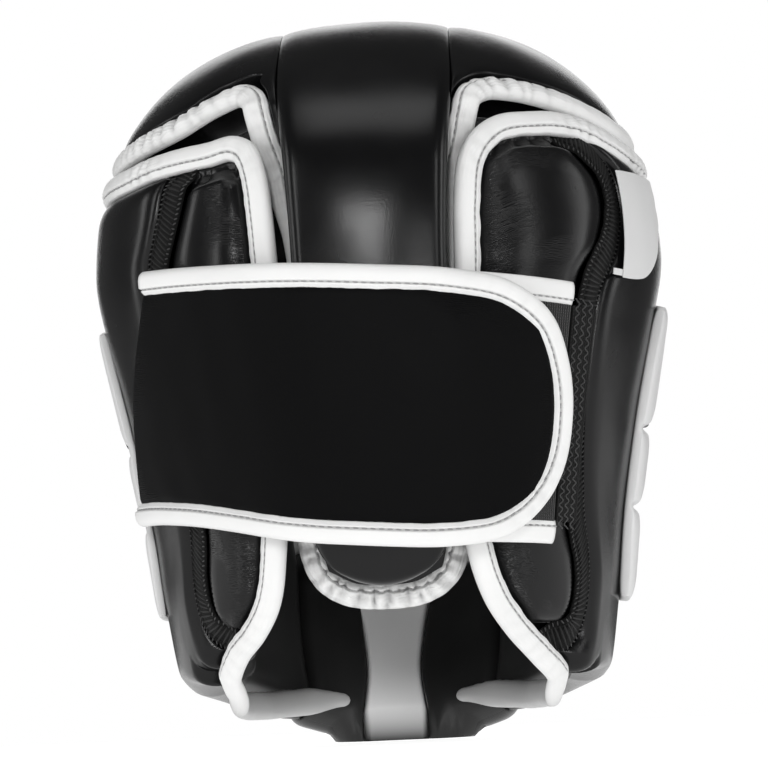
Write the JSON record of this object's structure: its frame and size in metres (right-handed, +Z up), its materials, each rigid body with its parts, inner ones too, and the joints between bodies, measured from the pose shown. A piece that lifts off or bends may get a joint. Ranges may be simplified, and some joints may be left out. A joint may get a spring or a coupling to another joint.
{
  "type": "boxing headgear",
  "caption": "Padded full-face boxing headgear with raised cheek guards, a chin guard and a wide hook-and-loop closure strap across the back.",
  "frame": {"origin": "centre of the bounding box at the lowest leather of the chin guard, where the object rests", "axes": "+Z up through the crown, -Y the way the face looks, +X the wearer's left"},
  "size_m": [0.2264, 0.2612, 0.2797],
  "materials": {
    "black_leather": "smooth black coated leather with a soft gloss, fine creases where it turns in at the seams",
    "white_leather": "smooth white coated leather with a satin sheen",
    "pale_leather": "smooth pale grey coated leather, satin",
    "black_webbing": "matte black woven tape and knitted elastic",
    "loop_pile": "matte black brushed loop pile",
    "label_cloth": "plain white woven label cloth, left bare"
  },
  "bodies": {
    "root": {"spine_pad": "black_leather", "tail_base": "black_leather", "crown_binding": "white_leather", "forehead_pad": "black_leather", "face_binding": "white_leather", "chin_pad_l": "black_leather", "chin_pad_r": "black_leather", "chin_strip": "pale_leather", "side_shell_l": "black_leather", "flap_l": "black_leather", "edge_tape_l": "black_webbing", "flap_binding_l": "white_leather", "rim_binding_l": "white_leather", "crown_wing_l": "black_leather", "cheek_guard_l": "white_leather", "ear_ring_l": "black_leather", "side_shell_r": "black_leather", "flap_r": "black_leather", "edge_tape_r": "black_webbing", "flap_binding_r": "white_leather", "rim_binding_r": "white_leather", "crown_wing_r": "black_leather", "cheek_guard_r": "white_leather", "ear_ring_r": "black_leather", "closure_strap": "black_leather", "closure_binding": "white_leather", "loop_strap": "loop_pile", "elastic": "black_webbing", "loop_binding_top": "white_leather", "loop_binding_bottom": "white_leather", "care_label": "label_cloth"}
  },
  "joints": []
}
